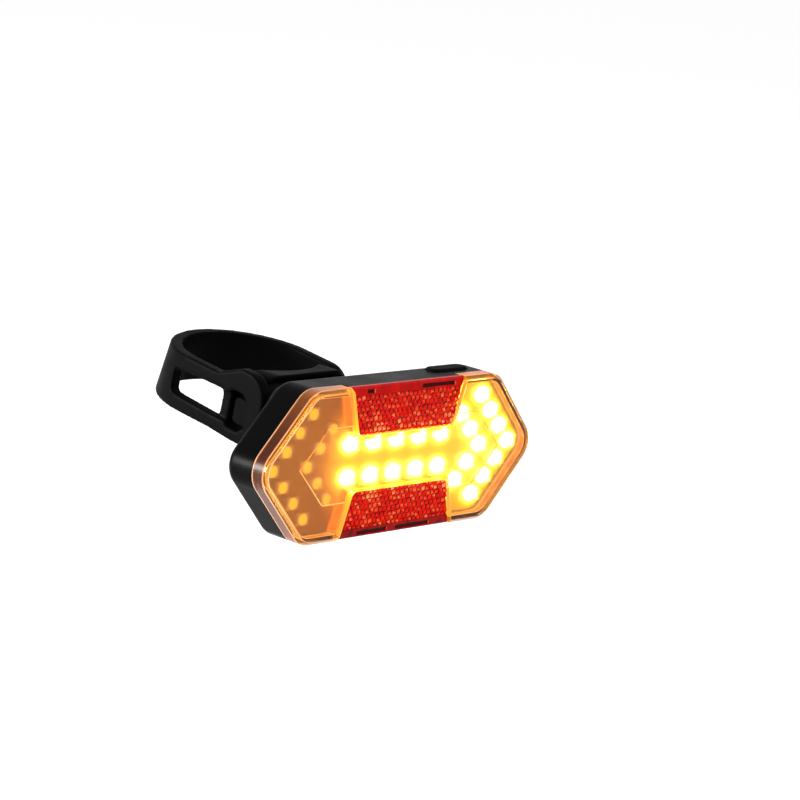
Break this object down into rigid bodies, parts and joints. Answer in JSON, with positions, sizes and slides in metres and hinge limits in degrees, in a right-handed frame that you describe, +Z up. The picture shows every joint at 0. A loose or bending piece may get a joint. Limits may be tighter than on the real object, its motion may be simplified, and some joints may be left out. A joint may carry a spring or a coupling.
{
  "type": "bike tail light with turn arrows",
  "caption": "Long hexagonal rear light with a double-ended arrow of diodes, red reflector windows and a rail bracket held to a round post by a rubber ladder strap.",
  "frame": {"origin": "centre of the round post clamp, on the post's axis, half way up the strap", "axes": "+X is the viewer's right when facing the lens, the lens faces -Y, +Z is up as in use; the post's axis leans 17 degrees from +Z towards -Y"},
  "size_m": [0.0874, 0.0751, 0.0354],
  "materials": {
    "clear_lens": "clear, slightly smoked, gloss",
    "red_reflector": "gloss, prism pattern behind",
    "black_housing": "satin",
    "lamp_board": "solder mask, satin",
    "amber_diode": "resin",
    "amber_diode_lit": null,
    "red_diode": "resin",
    "black_rubber": "fine matt",
    "black_nylon": "satin",
    "white_nylon": "satin",
    "steel": "plated",
    "cell_pouch": "foil",
    "black_foam": "foam",
    "circuit_board": "solder mask",
    "black_epoxy": "matt",
    "red_wire": "silicone"
  },
  "bodies": {
    "holder": {"bracket_body": "black_nylon", "saddle_pad": "black_rubber", "strap": "black_rubber"},
    "light": {"lens_cover": "clear_lens", "upper_reflector": "red_reflector", "lower_reflector": "red_reflector", "housing_shell": "black_housing", "led_board": "lamp_board", "left_arrow_leds": "amber_diode", "right_arrow_leds": "amber_diode_lit", "shaft_leds": "amber_diode_lit", "tail_leds": "red_diode", "switch_case": "black_nylon", "charge_socket": "steel", "socket_tongue": "black_nylon", "battery_cell": "cell_pouch", "battery_foam": "black_foam", "guard_board": "circuit_board", "battery_connector": "white_nylon", "battery_leads": "red_wire", "controller_chip": "black_epoxy", "charger_chip": "black_epoxy", "radio_board": "circuit_board", "radio_chip": "black_epoxy", "rail_plate": "black_nylon", "rail_screws": "steel"},
    "button": {"power_button": "black_rubber", "switch_stem": "black_nylon"},
    "cover": {"socket_cover": "black_rubber"}
  },
  "joints": [
    {"name": "light_slide", "type": "slide", "parent": "holder", "child": "light", "axis": [0, 0, 1], "range_m": [0, 0.02]},
    {"name": "power_button_press", "type": "slide", "parent": "light", "child": "button", "axis": [0, 0, -1], "range_m": [0, 0.0005], "stiffness_N_per_m": 3000},
    {"name": "socket_cover_hinge", "type": "hinge", "parent": "light", "child": "cover", "pos_m": [0.01345, -0.0471, -0.02305], "axis": [0, 1, 0], "range_deg": [0, 90]}
  ]
}
